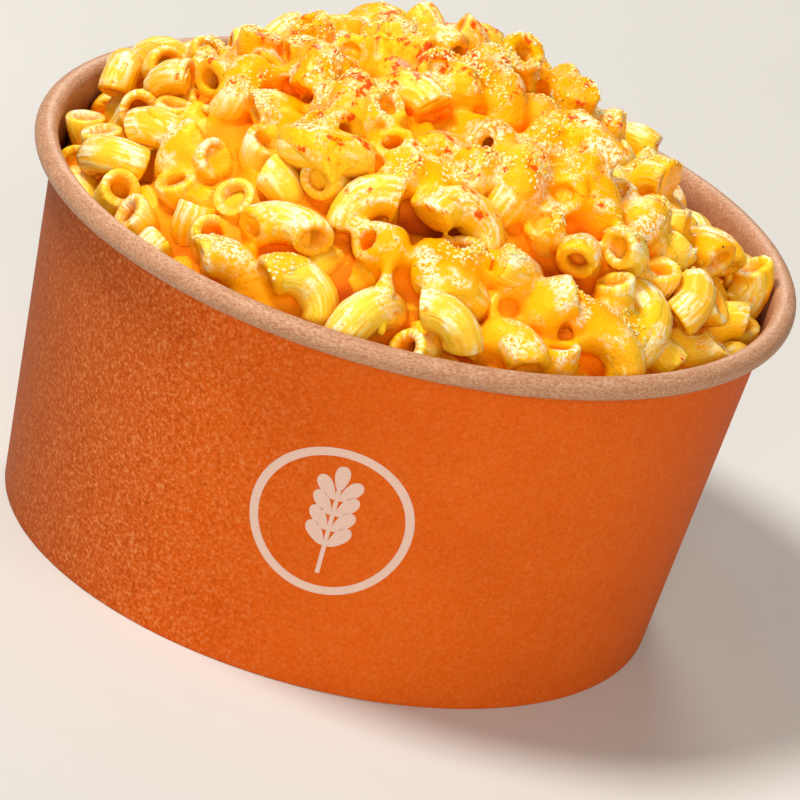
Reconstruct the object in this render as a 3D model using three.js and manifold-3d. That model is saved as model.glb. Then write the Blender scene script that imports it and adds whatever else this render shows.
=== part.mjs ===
// Macaroni and cheese heaped in a round paper takeaway bowl.
// Millimetres, +Z up. The origin is the centre of the ring that the bowl stands on.
import * as THREE from "three";
import { mergeVertices } from "three/addons/utils/BufferGeometryUtils.js";
import Module from "manifold-3d";

const manifold = await Module();
manifold.setup();

// The bowl's driving sizes.
const RIM_RADIUS = 75;
const FOOT_RADIUS = 64.5;
const BOWL_HEIGHT = 75;
const PAPER = 0.5;
const BEAD_RADIUS = 2.25;
const BEAD_TURN = THREE.MathUtils.degToRad(285);
const FOLD_HEIGHT = 7.4;
const FOLD_GAP = 0.15;
const FLOOR_HEIGHT = 8.6;
const AROUND = 40;

// The heap's driving sizes.
const FOOD_GAP = 0.3;
const HEAP_RADIUS = 70;
const CROWN_HEIGHT = 107;
const EDGE_HEIGHT = 74.5;
const CROWN_OFFSET = -2;
const CROWN_POWER = 2.2;
const CORE_DEPTH = 6.4;
const LUMP_HEIGHT = 1.9;

// Where the heap lies lower than its dome: the place's x and y, and the dip's width and depth.
const DIPS = [
  [40, 22, 16, 10],
  [-28, 20, 16, 4],
];

// One cooked elbow: a tube bent along an arc.
const TUBE_RADIUS = 4.1;
const BORE_RADIUS = 2;
const BORE_DEPTH = 3;
const BORE_SHOWS = 4;
const BEND_RADIUS = 6.8;
const SHORTEST_BEND = THREE.MathUtils.degToRad(85);
const LONGEST_BEND = THREE.MathUtils.degToRad(135);
const TUBE_SIDES = 6;
const TUBE_STEPS = 3;

// How the elbows are spread over the heap and settled against each other.
const SPREAD_COUNT = 112;
const SPREAD_RADIUS = 67.5;
const ANGLE_PLAY = 0.2;
const STANDING_SHARE = 0.12;
const STANDING_PITCH = [0.5, 1.1];
const LYING_PITCH = [-0.4, 0.4];
const ARCH_LEAN = 1.4;
const SINK = [-2, 1.4];
const CLEAR_OF_PLACED = 6.5;
const CLEAR_OF_HOLLOW = 3;
const HEAP_SEED = 20117;
const SETTLE_ROUNDS = 60;
const SETTLE_SHIFT = 0.8;
const SINK_PULL = 0.3;
const PLACED_GIVE = 0.3;
const BEADS = 5;
const GOLDEN_ANGLE = Math.PI * (3 - Math.sqrt(5));

// The hollows between elbows, where no spread elbow lies: the centre's x, y and z, and a radius.
const HOLLOWS = [
  [8, -38, 90, 6],
  [-2, -44, 88, 6],
  [23, -41, 85, 4],
  [32, -41, 82, 6],
  [-22, -51, 78, 3],
  [-9, -57, 77, 3],
];

// The elbows that show most, placed by hand: the centre's x, y and z in mm, then in degrees
// the heading and pitch of the tube's middle, the roll of its outer curve, and its bend.
const PLACED_ELBOWS = [
  [4, -24, 93, -165, 45, -60, 125],
  [10, -43, 90, 180, 15, -55, 150],
  [8, -48, 81, -10, 30, 165, 115],
  [-10, -30, 94, -150, -15, 180, 120],
  [-7, -51, 81, -95, -55, 115, 110],
  [-21, -48, 83, -175, -20, -70, 120],
  [-30, -43, 80, 140, 40, -120, 100],
  [-40, -34, 79, -175, -15, -175, 115],
  [-51, -41, 69, 30, 70, -180, 110],
  [-55, -33, 70, 90, 60, 165, 110],
  [-62, 1, 69, -175, 5, 175, 130],
  [-56, -12, 74, 175, 35, 175, 115],
  [-59, 38, 72.5, -175, -10, -35, 150],
  [-61, 16, 78, -100, 0, 0, 110],
  [-46, -12, 82, -160, 30, 180, 100],
  [-28, -21, 92, 180, 30, -30, 110],
  [-14, -42, 88, 175, 20, -55, 115],
  [-13, -42, 89, -5, 15, 45, 115],
  [-8, -23, 98, 160, 30, -155, 100],
  [22, -26, 92, 165, -5, -145, 110],
  [23, -30, 89, 25, 60, -165, 100],
  [34, -11, 90, 160, 10, -150, 110],
  [39, 3, 88, 20, 45, 45, 125],
  [45, -7, 83, 20, 45, 35, 110],
  [44, -21, 80, 10, 30, -170, 125],
  [39, -37, 80, 30, 70, -160, 100],
  [54, -15, 78, -15, -20, -170, 95],
  [56, 6, 77, 0, 10, 30, 110],
  [70, 7, 73, -180, 35, -50, 105],
  [24, -57, 76, 170, 5, -35, 135],
  [42, -49, 73, 165, 15, -40, 145],
  [28, -55, 71, 10, 55, -165, 110],
  [57, -25, 71, 180, 15, 170, 110],
  [62, -11, 69, 15, 30, 25, 110],
  [-15, -56, 77, 175, 20, -30, 135],
  [-29, -53, 74, 175, 30, -30, 125],
  [8, -59, 74, 15, 50, -180, 100],
  [-33, 0, 94, 165, 20, 165, 120],
  [-29, 14, 93, 50, 40, -150, 120],
  [-9, 7, 102, 170, 10, 165, 110],
  [1, 20, 99, 155, 55, -55, 130],
  [9, 2, 103, 45, 35, 145, 120],
  [23, 10, 96, 80, 25, 165, 110],
  [28, 13, 91, 45, 60, 60, 120],
];

const paperMaterial = () =>
  new THREE.MeshStandardMaterial({ color: 0xd8622a, roughness: 0.62, metalness: 0 });
const kraftMaterial = () =>
  new THREE.MeshStandardMaterial({ color: 0xb98a63, roughness: 0.7, metalness: 0 });
const foodMaterial = () =>
  new THREE.MeshStandardMaterial({ color: 0xf6a81c, roughness: 0.35, metalness: 0 });

// Park and Miller's generator, so that the heap is the same each time.
function seeded(seed) {
  let state = seed;
  return () => {
    state = (state * 16807) % 2147483647;
    return state / 2147483647;
  };
}

// Points on an arc in a profile's (radius, height) plane, both ends included.
function arcPoints(centre, radius, from, to, count) {
  return Array.from({ length: count + 1 }, (_, i) => {
    const angle = from + ((to - from) * i) / count;
    return new THREE.Vector2(
      centre.x + radius * Math.cos(angle),
      centre.y + radius * Math.sin(angle),
    );
  });
}

// A profile turned about an upright axis, laid over so that the bowl's axis is Z.
function turned(profile, around = AROUND) {
  return new THREE.LatheGeometry(profile, around).rotateX(Math.PI / 2);
}

// The wall's outer face leans out from the foot to the underside of the bead.
const WALL_TOP_RADIUS = RIM_RADIUS - 2 * BEAD_RADIUS + PAPER;
const WALL_TOP_HEIGHT = BOWL_HEIGHT - BEAD_RADIUS;
const wallOuter = (height) =>
  THREE.MathUtils.mapLinear(height, 0, WALL_TOP_HEIGHT, FOOT_RADIUS, WALL_TOP_RADIUS);
const wallInner = (height) => wallOuter(height) - PAPER;

// The side wall is one strip of paperboard: its foot is folded up inside itself round the base,
// and its top is rolled outwards into the bead.
function bowlWall() {
  const foldOuter = (height) => wallInner(height) - PAPER - 2 * FOLD_GAP;
  const foldInner = (height) => foldOuter(height) - PAPER;
  const beadCentre = new THREE.Vector2(RIM_RADIUS - BEAD_RADIUS, WALL_TOP_HEIGHT);
  const rollEnd = Math.PI - BEAD_TURN;
  const outline = [
    new THREE.Vector2(wallOuter(0) - PAPER / 2, 0),
    new THREE.Vector2(wallOuter(PAPER / 2), PAPER / 2),
    ...arcPoints(beadCentre, BEAD_RADIUS - PAPER, Math.PI, rollEnd, 6),
    ...arcPoints(beadCentre, BEAD_RADIUS, rollEnd, Math.PI, 8),
    new THREE.Vector2(wallInner(PAPER), PAPER),
    new THREE.Vector2(foldOuter(PAPER), PAPER),
    new THREE.Vector2(foldOuter(FOLD_HEIGHT), FOLD_HEIGHT),
    new THREE.Vector2(foldInner(FOLD_HEIGHT), FOLD_HEIGHT),
    new THREE.Vector2(foldInner(PAPER / 2), PAPER / 2),
    new THREE.Vector2(foldInner(0) + PAPER / 2, 0),
  ];
  return turned([...outline, outline[0]]);
}

// The base is a shallow tray turned upside down: its flange goes down between wall and fold.
function bowlBase() {
  const flangeOuter = (height) => wallInner(height) - FOLD_GAP;
  const flangeInner = (height) => flangeOuter(height) - PAPER;
  const underside = FLOOR_HEIGHT - PAPER;
  const flangeFoot = PAPER + FOOD_GAP;
  return turned([
    new THREE.Vector2(0, underside),
    new THREE.Vector2(flangeInner(underside) - PAPER, underside),
    new THREE.Vector2(flangeInner(underside - PAPER), underside - PAPER),
    new THREE.Vector2(flangeInner(flangeFoot), flangeFoot),
    new THREE.Vector2(flangeOuter(flangeFoot), flangeFoot),
    new THREE.Vector2(flangeOuter(underside), underside),
    new THREE.Vector2(flangeOuter(FLOOR_HEIGHT) - PAPER, FLOOR_HEIGHT),
    new THREE.Vector2(0, FLOOR_HEIGHT),
  ]);
}

// The smooth surface that the topmost elbows reach, as a height over the plan.
function heapTop(x, y) {
  const out = Math.min(1, Math.hypot(x, y) / HEAP_RADIUS);
  const shifted = Math.hypot(x - CROWN_OFFSET * (1 - out), y) / HEAP_RADIUS;
  const dome = 1 - Math.min(1, shifted) ** CROWN_POWER;
  const lumps =
    Math.sin(x / 8.3 + 0.7) * Math.sin(y / 9.7 + 1.9) + 0.6 * Math.sin(x / 5.1 - y / 6.3);
  let height = EDGE_HEIGHT + (CROWN_HEIGHT - EDGE_HEIGHT) * dome;
  height += LUMP_HEIGHT * lumps * (1 - out ** 4);
  for (const [dipX, dipY, width, depth] of DIPS) {
    height -= depth * Math.exp(-((x - dipX) ** 2 + (y - dipY) ** 2) / (2 * width ** 2));
  }
  return height;
}

function heapNormal(x, y) {
  const step = 3;
  const slopeX = (heapTop(x + step, y) - heapTop(x - step, y)) / (2 * step);
  const slopeY = (heapTop(x, y + step) - heapTop(x, y - step)) / (2 * step);
  return new THREE.Vector3(-slopeX, -slopeY, 1).normalize();
}

// How far a point lies outside the heap's top surface, negative inside it.
function outsideHeap(point) {
  const normal = heapNormal(point.x, point.y);
  return (point.z - heapTop(point.x, point.y)) * normal.z;
}

// An elbow is its centroid, the direction along its middle, the direction of its outer curve,
// the angle that it bends through, how far its highest point lies under the heap's top, and
// how freely it moves when the heap settles.
function placedElbow([x, y, z, ...degrees]) {
  const [heading, pitch, roll, bend] = degrees.map(THREE.MathUtils.degToRad);
  const along = new THREE.Vector3(
    Math.cos(heading) * Math.cos(pitch),
    Math.sin(heading) * Math.cos(pitch),
    Math.sin(pitch),
  );
  const side = new THREE.Vector3(-Math.sin(heading), Math.cos(heading), 0);
  const lift = new THREE.Vector3().crossVectors(along, side);
  const outward = lift.multiplyScalar(Math.cos(roll)).addScaledVector(side, Math.sin(roll));
  const elbow = { centre: new THREE.Vector3(x, y, z), along, outward, bend, give: PLACED_GIVE };
  elbow.sink = -TUBE_RADIUS - Math.max(...elbowBeads(elbow).map(outsideHeap));
  return elbow;
}

function spreadElbow({ x, y, heading, pitch, arch, bend, sink }) {
  const normal = heapNormal(x, y);
  const ahead = new THREE.Vector3(Math.cos(heading), Math.sin(heading), 0);
  ahead.addScaledVector(normal, -ahead.dot(normal)).normalize();
  const side = new THREE.Vector3().crossVectors(normal, ahead);
  const along = ahead
    .clone()
    .multiplyScalar(Math.cos(pitch))
    .addScaledVector(normal, Math.sin(pitch));
  const raised = normal
    .clone()
    .multiplyScalar(Math.cos(pitch))
    .addScaledVector(ahead, -Math.sin(pitch));
  const outward = raised.multiplyScalar(Math.cos(arch)).addScaledVector(side, Math.sin(arch));
  const centre = new THREE.Vector3(x, y, heapTop(x, y)).addScaledVector(normal, -TUBE_RADIUS - sink);
  return { centre, along, outward, bend, sink, give: 1 };
}

// The point at angle `turn` from the elbow's middle, on its centreline.
function elbowPoint(elbow, turn) {
  const middle = Math.sin(elbow.bend / 2) / (elbow.bend / 2);
  return elbow.centre
    .clone()
    .addScaledVector(elbow.along, BEND_RADIUS * Math.sin(turn))
    .addScaledVector(elbow.outward, BEND_RADIUS * (Math.cos(turn) - middle));
}

function elbowBeads(elbow) {
  return Array.from({ length: BEADS }, (_, k) =>
    elbowPoint(elbow, elbow.bend * (k / (BEADS - 1) - 0.5)),
  );
}

// Elbows spread by the golden angle, each lying its own way, clear of placed ones and hollows.
function scatterElbows() {
  const random = seeded(HEAP_SEED);
  const between = (low, high) => low + (high - low) * random();
  const placed = PLACED_ELBOWS.map(placedElbow);
  const spread = Array.from({ length: SPREAD_COUNT }, (_, i) => {
    const radius = SPREAD_RADIUS * Math.sqrt((i + 0.5) / SPREAD_COUNT);
    const angle = i * GOLDEN_ANGLE + between(-ANGLE_PLAY, ANGLE_PLAY);
    const heading = between(0, 2 * Math.PI);
    const stands = random() < STANDING_SHARE;
    return spreadElbow({
      x: radius * Math.cos(angle),
      y: radius * Math.sin(angle),
      heading,
      pitch: between(...(stands ? STANDING_PITCH : LYING_PITCH)),
      arch: between(-ARCH_LEAN, ARCH_LEAN),
      bend: between(SHORTEST_BEND, LONGEST_BEND),
      sink: between(...SINK),
    });
  });
  const isClear = ({ centre }) =>
    placed.every((other) => other.centre.distanceTo(centre) >= CLEAR_OF_PLACED) &&
    HOLLOWS.every(
      ([x, y, z, radius]) =>
        centre.distanceTo(new THREE.Vector3(x, y, z)) >= radius + CLEAR_OF_HOLLOW,
    );
  return [...placed, ...spread.filter(isClear)];
}

// Each pair of beads closer than a tube's width is pushed half the overlap each way.
function pushApart(beads, pushes) {
  const width = 2 * TUBE_RADIUS;
  const gap = new THREE.Vector3();
  for (let a = 0; a < beads.length; a++) {
    for (let b = a + 1; b < beads.length; b++) {
      if (beads[a][2].distanceToSquared(beads[b][2]) > (5 * BEND_RADIUS) ** 2) continue;
      for (let i = 0; i < BEADS; i++) {
        for (let j = 0; j < BEADS; j++) {
          gap.subVectors(beads[a][i], beads[b][j]);
          const distance = gap.length();
          if (distance >= width || distance < 1e-6) continue;
          gap.multiplyScalar((0.5 * (width - distance)) / distance);
          pushes[a][i].add(gap);
          pushes[b][j].sub(gap);
        }
      }
    }
  }
}

// The bowl's wall holds each bead in, and the heap's top draws each elbow to its own depth.
function holdInHeap(elbow, beads, pushes) {
  beads.forEach((bead, k) => {
    const height = Math.min(bead.z, BOWL_HEIGHT);
    const reach = foodReach(height) - TUBE_RADIUS;
    const radius = Math.hypot(bead.x, bead.y);
    if (radius > reach) {
      const inward = reach / radius - 1;
      pushes[k].add(new THREE.Vector3(bead.x * inward, bead.y * inward, 0));
    }
  });
  const highest = Math.max(...beads.map(outsideHeap)) + TUBE_RADIUS;
  const normal = heapNormal(elbow.centre.x, elbow.centre.y);
  pushes.forEach((push) => push.addScaledVector(normal, -SINK_PULL * (highest + elbow.sink)));
}

// The rigid move that fits the pushes on an elbow's beads best.
function moveElbow(elbow, beads, pushes) {
  const shift = new THREE.Vector3();
  const turn = new THREE.Vector3();
  const arm = new THREE.Vector3();
  let spread = 0;
  beads.forEach((bead, k) => {
    shift.addScaledVector(pushes[k], 1 / BEADS);
    arm.subVectors(bead, elbow.centre);
    spread += arm.lengthSq();
    turn.add(arm.clone().cross(pushes[k]));
  });
  turn.multiplyScalar(elbow.give / spread);
  elbow.centre.addScaledVector(shift, SETTLE_SHIFT * elbow.give);
  elbow.along.add(turn.clone().cross(elbow.along)).normalize();
  elbow.outward.add(turn.clone().cross(elbow.outward));
  elbow.outward.addScaledVector(elbow.along, -elbow.outward.dot(elbow.along)).normalize();
}

function settleElbows(elbows) {
  for (let round = 0; round < SETTLE_ROUNDS; round++) {
    const beads = elbows.map(elbowBeads);
    const pushes = beads.map((row) => row.map(() => new THREE.Vector3()));
    pushApart(beads, pushes);
    elbows.forEach((elbow, i) => holdInHeap(elbow, beads[i], pushes[i]));
    elbows.forEach((elbow, i) => moveElbow(elbow, beads[i], pushes[i]));
  }
  return elbows;
}

// The stretch of an elbow's centreline between two angles, for a tube to follow.
class ElbowCurve extends THREE.Curve {
  constructor(elbow, from, to) {
    super();
    Object.assign(this, { elbow, from, to });
  }
  getPoint(share, target = new THREE.Vector3()) {
    return target.copy(elbowPoint(this.elbow, this.from + (this.to - this.from) * share));
  }
}

function roundShape(radius, sides) {
  return new THREE.Shape(
    Array.from({ length: sides }, (_, i) => {
      const angle = (2 * Math.PI * (i + 0.5)) / sides;
      return new THREE.Vector2(radius * Math.cos(angle), radius * Math.sin(angle));
    }),
  );
}

// A closed geometry as a solid that joins and cuts, and back.
function solidFrom(geometry) {
  const bare = geometry.clone();
  bare.deleteAttribute("normal");
  bare.deleteAttribute("uv");
  const merged = mergeVertices(bare, 1e-4);
  return new manifold.Manifold(
    new manifold.Mesh({
      numProp: 3,
      vertProperties: merged.attributes.position.array,
      triVerts: new Uint32Array(merged.index.array),
    }),
  );
}

function geometryFrom(solid) {
  const mesh = solid.getMesh();
  return new THREE.BufferGeometry()
    .setAttribute("position", new THREE.BufferAttribute(mesh.vertProperties, 3))
    .setIndex(new THREE.BufferAttribute(mesh.triVerts, 1));
}

function tubeSolid(elbow, from, to, radius, steps) {
  const extrudePath = new ElbowCurve(elbow, from, to);
  return solidFrom(new THREE.ExtrudeGeometry(roundShape(radius, TUBE_SIDES), { steps, extrudePath }));
}

// An elbow's tube, bored where an end shows at the heap's surface.
function elbowSolid(elbow) {
  const half = elbow.bend / 2;
  const depth = BORE_DEPTH / BEND_RADIUS;
  let solid = tubeSolid(elbow, -half, half, TUBE_RADIUS, TUBE_STEPS);
  for (const end of [-1, 1]) {
    const tip = elbowPoint(elbow, end * half);
    const beyond = elbowPoint(elbow, end * (half + 0.1));
    if (outsideHeap(tip) < -BORE_SHOWS || outsideHeap(beyond) < outsideHeap(tip)) continue;
    const bore = tubeSolid(elbow, end * (half - depth), end * (half + 0.1), BORE_RADIUS, 1);
    solid = solid.subtract(bore);
  }
  return solid;
}

const foodReach = (height) => wallInner(height) - FOOD_GAP;

// The cheesy mass under the elbows: it fills the bowl and domes up below the heap's top.
function coreSolid() {
  const rings = [0, 0.2, 0.4, 0.58, 0.74, 0.88, 0.97];
  const shoulder = EDGE_HEIGHT - 1.5 * CORE_DEPTH;
  const profile = [
    new THREE.Vector2(0, FLOOR_HEIGHT + FOOD_GAP),
    new THREE.Vector2(foodReach(FLOOR_HEIGHT) - 0.6, FLOOR_HEIGHT + FOOD_GAP),
    new THREE.Vector2(foodReach(FLOOR_HEIGHT + 1), FLOOR_HEIGHT + 1),
    new THREE.Vector2(foodReach(shoulder), shoulder),
    ...rings.reverse().map((share) => new THREE.Vector2(share * HEAP_RADIUS, shoulder + 1)),
  ];
  const geometry = turned(profile, AROUND / 2);
  const position = geometry.getAttribute("position");
  for (let i = 0; i < position.count; i++) {
    const [x, y, z] = [position.getX(i), position.getY(i), position.getZ(i)];
    if (z > shoulder + 0.5) position.setZ(i, heapTop(x, y) - CORE_DEPTH / heapNormal(x, y).z);
  }
  return solidFrom(geometry);
}

// The space that the food may take: inside the wall, and straight up over the rim.
function roomForFood() {
  return solidFrom(
    turned([
      new THREE.Vector2(0, 0),
      new THREE.Vector2(foodReach(0), 0),
      new THREE.Vector2(foodReach(BOWL_HEIGHT), BOWL_HEIGHT),
      new THREE.Vector2(foodReach(BOWL_HEIGHT), 2 * BOWL_HEIGHT),
      new THREE.Vector2(0, 2 * BOWL_HEIGHT),
    ]),
  );
}

// Core and elbows fused, without the sealed pockets and loose scraps that fusing leaves.
function macaroniHeap() {
  const elbows = settleElbows(scatterElbows());
  const fused = elbows.reduce((solid, elbow) => solid.add(elbowSolid(elbow)), coreSolid());
  const pieces = fused.intersect(roomForFood()).decompose();
  const largest = pieces.reduce((a, b) => (a.volume() > b.volume() ? a : b));
  return geometryFrom(largest);
}

function part(name, geometry, material) {
  const mesh = new THREE.Mesh(geometry, material);
  mesh.name = name;
  return mesh;
}

const bowl = new THREE.Group();
bowl.add(part("bowl_wall", bowlWall(), paperMaterial()));
bowl.add(part("bowl_base", bowlBase(), kraftMaterial()));

const macaroniAndCheese = new THREE.Group();
macaroniAndCheese.add(bowl, part("macaroni_and_cheese", macaroniHeap(), foodMaterial()));

export default macaroniAndCheese;
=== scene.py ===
"""Macaroni and cheese in a round paper bowl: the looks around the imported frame, in metres."""

from math import cos, pi, radians, sin, sqrt

import bpy
import numpy as np
import openvdb
from mathutils import Matrix, Vector


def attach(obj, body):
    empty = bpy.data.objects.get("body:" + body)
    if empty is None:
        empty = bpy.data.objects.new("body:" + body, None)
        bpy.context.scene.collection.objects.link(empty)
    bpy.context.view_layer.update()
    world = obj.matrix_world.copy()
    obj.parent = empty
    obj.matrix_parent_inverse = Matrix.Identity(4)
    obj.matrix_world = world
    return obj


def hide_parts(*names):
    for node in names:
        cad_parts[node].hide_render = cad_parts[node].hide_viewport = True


MM = 0.001

# The bowl's sizes in millimetres, as in the part.
RIM_RADIUS = 75
FOOT_RADIUS = 64.5
BOWL_HEIGHT = 75
PAPER = 0.5
PRINT = 0.2
BEAD_RADIUS = 2.25
BEAD_TURN = radians(285)
FOLD_HEIGHT = 7.4
FOLD_GAP = 0.15
FLOOR_HEIGHT = 8.6
FOOD_GAP = 0.3
PRINT_TOP = BOWL_HEIGHT - BEAD_RADIUS - 1.1
AROUND = 256

# The printed badge, an ear of wheat in a ring.
BADGE_HEIGHT = 36
BADGE_RADIUS = 15.5
BADGE_LINE = 1.7
STALK = (-11.2, 7.3)
STALK_WIDTH = 0.84
GRAIN_WIDTH = 2.7
GRAIN_LEAN = radians(38)

# The heap's smooth top.
HEAP_RADIUS = 70
CROWN_HEIGHT = 107
EDGE_HEIGHT = 74.5
CROWN_OFFSET = -2
CROWN_POWER = 2.2
LUMP_HEIGHT = 1.9

# Where the heap lies lower than its dome: the place's x and y, and the dip's width and depth.
DIPS = ((40, 22, 16, 10), (-28, 20, 16, 4))

# One cooked elbow.
TUBE_RADIUS = 4.1
BORE_RADIUS = 2
BEND_RADIUS = 6.8
SHORTEST_BEND = radians(85)
LONGEST_BEND = radians(135)

# How the elbows that show are made: the sides of a tube, the rounding of its ends, and the room
# left for a thin coat of cheese.
TUBE_SIDES = 16
END_ROUNDING = 0.35
COAT_ROOM = 0.08

# How the elbows are spread and settled, as in the part.
SPREAD_COUNT = 112
SPREAD_RADIUS = 67.5
ANGLE_PLAY = 0.2
STANDING_SHARE = 0.12
STANDING_PITCH = (0.5, 1.1)
LYING_PITCH = (-0.4, 0.4)
ARCH_LEAN = 1.4
SINK = (-2, 1.4)
CLEAR_OF_PLACED = 6.5
CLEAR_OF_HOLLOW = 3
HEAP_SEED = 20117
SETTLE_ROUNDS = 60
SETTLE_SHIFT = 0.8
SINK_PULL = 0.3
PLACED_GIVE = 0.3
BEADS = 5
GOLDEN_ANGLE = pi * (3 - sqrt(5))

# The hollows between elbows, where no spread elbow lies: the centre's x, y and z, and a radius,
# as in the part.
HOLLOWS = np.array([
    (8, -38, 90, 6), (-2, -44, 88, 6), (23, -41, 85, 4),
    (32, -41, 82, 6), (-22, -51, 78, 3), (-9, -57, 77, 3),
], dtype=float)

# The elbows that fill the gaps under the part's own.
UNDER_COUNT = 172
UNDER_SEED = 4409
UNDER_ROUNDS = 40
UNDER_SINK = (1.8, 5.6)
UNDER_CLEAR_OF_HOLLOW = 1.5

# The melted cheese, worked out on a grid of cubes.
VOXEL = 0.7
MESH_SAVING = 0.055
CHEESE_REACH = 71.4
CHEESE_LOW = 58
CHEESE_HIGH = 114

# Strings of cheese from elbow to elbow, drips into the gaps, and how many of each kind lie near
# the curtains.
STRINGS = 130
DRIPS = 150
NEAR_CURTAINS = 40

# Where the cheese is browned most, and how far out from there.
BROWNED = (-3, -5, 105)
BROWNED_REACH = 19

# Pale cream painted on the food's upward, open faces as highlight.
HIGHLIGHT_CREAM = (1, 0.89, 0.62)

# The crumbs lie in patches; the pepper is spread over everything that looks up.
CRUMB_PATCHES = 110
CRUMBS_IN_PATCH = 56
PEPPER_COUNT = 240

# The thick curtains of cheese that show, each through three points: x, y, z and a radius.
CURTAINS = np.array([
    [(-2, -51, 87, 2.4), (-2, -57, 82, 1.3), (0, -64, 74, 0.8)],
    [(-8, -49, 85, 1.6), (0, -52, 84, 2.2), (8, -52, 83, 1.8)],
    [(-1, -29, 95, 2.6), (2, -34, 93, 2.8), (1, -40, 91, 2.0)],
    [(4, -49, 86, 2.2), (11, -49, 85, 2.0), (18, -46, 85, 1.8)],
    [(29, -46, 83, 2.2), (37, -44, 80, 2.4), (45, -39, 77, 2.0)],
    [(13, -22, 98, 2.2), (18, -26, 97, 2.2), (24, -23, 96, 1.8)],
])

# The studio: each lamp's name, its place and width in metres, its watts and its colour.
LAMPS = (
    ("key", (-0.4, -0.12, 0.91), 0.24, 8.9, (1, 0.98, 0.93)),
    ("front", (0.1, -1.2, 0.5), 0.5, 7.8, (1, 0.92, 0.8)),
    ("right", (0.75, -0.5, 0.62), 0.4, 1.7, (1, 0.95, 0.86)),
    ("back", (-0.1, 0.85, 0.55), 0.35, 3.5, (1, 0.96, 0.9)),
)
LIT_MIDDLE = (0, 0, 0.07)
FLOOR_REACH = 3000

# The camera, fitted to the photographed bowl: lengths in metres, lens and sensor in millimetres.
# Its aim is a shift right, a shift up and a height on the bowl's axis.
CAMERA_DIP = radians(23.62)
CAMERA_ROLL = radians(15.4)
CAMERA_DISTANCE = 1.2849
CAMERA_AIM = (0.00524, -0.00497, 0.0374)
CAMERA_LENS = 298.8
CAMERA_SENSOR = 36

# Centre's x, y and z in mm, then in degrees the heading and pitch of the tube's middle, the
# roll of its outer curve, and its bend: the elbows that show most, as in the part.
PLACED_ELBOWS = [
    [4, -24, 93, -165, 45, -60, 125],
    [10, -43, 90, 180, 15, -55, 150],
    [8, -48, 81, -10, 30, 165, 115],
    [-10, -30, 94, -150, -15, 180, 120],
    [-7, -51, 81, -95, -55, 115, 110],
    [-21, -48, 83, -175, -20, -70, 120],
    [-30, -43, 80, 140, 40, -120, 100],
    [-40, -34, 79, -175, -15, -175, 115],
    [-51, -41, 69, 30, 70, -180, 110],
    [-55, -33, 70, 90, 60, 165, 110],
    [-62, 1, 69, -175, 5, 175, 130],
    [-56, -12, 74, 175, 35, 175, 115],
    [-59, 38, 72.5, -175, -10, -35, 150],
    [-61, 16, 78, -100, 0, 0, 110],
    [-46, -12, 82, -160, 30, 180, 100],
    [-28, -21, 92, 180, 30, -30, 110],
    [-14, -42, 88, 175, 20, -55, 115],
    [-13, -42, 89, -5, 15, 45, 115],
    [-8, -23, 98, 160, 30, -155, 100],
    [22, -26, 92, 165, -5, -145, 110],
    [23, -30, 89, 25, 60, -165, 100],
    [34, -11, 90, 160, 10, -150, 110],
    [39, 3, 88, 20, 45, 45, 125],
    [45, -7, 83, 20, 45, 35, 110],
    [44, -21, 80, 10, 30, -170, 125],
    [39, -37, 80, 30, 70, -160, 100],
    [54, -15, 78, -15, -20, -170, 95],
    [56, 6, 77, 0, 10, 30, 110],
    [70, 7, 73, -180, 35, -50, 105],
    [24, -57, 76, 170, 5, -35, 135],
    [42, -49, 73, 165, 15, -40, 145],
    [28, -55, 71, 10, 55, -165, 110],
    [57, -25, 71, 180, 15, 170, 110],
    [62, -11, 69, 15, 30, 25, 110],
    [-15, -56, 77, 175, 20, -30, 135],
    [-29, -53, 74, 175, 30, -30, 125],
    [8, -59, 74, 15, 50, -180, 100],
    [-33, 0, 94, 165, 20, 165, 120],
    [-29, 14, 93, 50, 40, -150, 120],
    [-9, 7, 102, 170, 10, 165, 110],
    [1, 20, 99, 155, 55, -55, 130],
    [9, 2, 103, 45, 35, 145, 120],
    [23, 10, 96, 80, 25, 165, 110],
    [28, 13, 91, 45, 60, 60, 120],
]


def seeded(state):
    """Park and Miller's generator, as in the part."""
    while True:
        state = (state * 16807) % 2147483647
        yield state / 2147483647


def unit(v):
    return v / np.linalg.norm(v, axis=-1, keepdims=True)


def dot(a, b):
    return (a * b).sum(-1)


def wall_outer(height):
    top = BOWL_HEIGHT - BEAD_RADIUS
    top_radius = RIM_RADIUS - 2 * BEAD_RADIUS + PAPER
    return FOOT_RADIUS + (top_radius - FOOT_RADIUS) * height / top


def wall_inner(height):
    return wall_outer(height) - PAPER


def print_back(height):
    """The back of the printed layer."""
    return wall_outer(height) - PRINT


def flange_outer(height):
    """The outer face of the raised base's flange, which the wall's fold holds."""
    return wall_inner(height) - FOLD_GAP


def fold_outer(height):
    """The outer face of the strip that is folded up inside the foot."""
    return wall_inner(height) - PAPER - 2 * FOLD_GAP


def heap_top(x, y):
    out = np.minimum(1, np.hypot(x, y) / HEAP_RADIUS)
    shifted = np.hypot(x - CROWN_OFFSET * (1 - out), y) / HEAP_RADIUS
    dome = 1 - np.minimum(1, shifted) ** CROWN_POWER
    lumps = np.sin(x / 8.3 + 0.7) * np.sin(y / 9.7 + 1.9) + 0.6 * np.sin(x / 5.1 - y / 6.3)
    height = EDGE_HEIGHT + (CROWN_HEIGHT - EDGE_HEIGHT) * dome
    height = height + LUMP_HEIGHT * lumps * (1 - out**4)
    for dip_x, dip_y, width, depth in DIPS:
        height = height - depth * np.exp(-((x - dip_x) ** 2 + (y - dip_y) ** 2) / (2 * width**2))
    return height


def heap_normal(x, y):
    step = 3
    slope_x = (heap_top(x + step, y) - heap_top(x - step, y)) / (2 * step)
    slope_y = (heap_top(x, y + step) - heap_top(x, y - step)) / (2 * step)
    return unit(np.stack([-slope_x, -slope_y, np.ones_like(slope_x)], -1))


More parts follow.
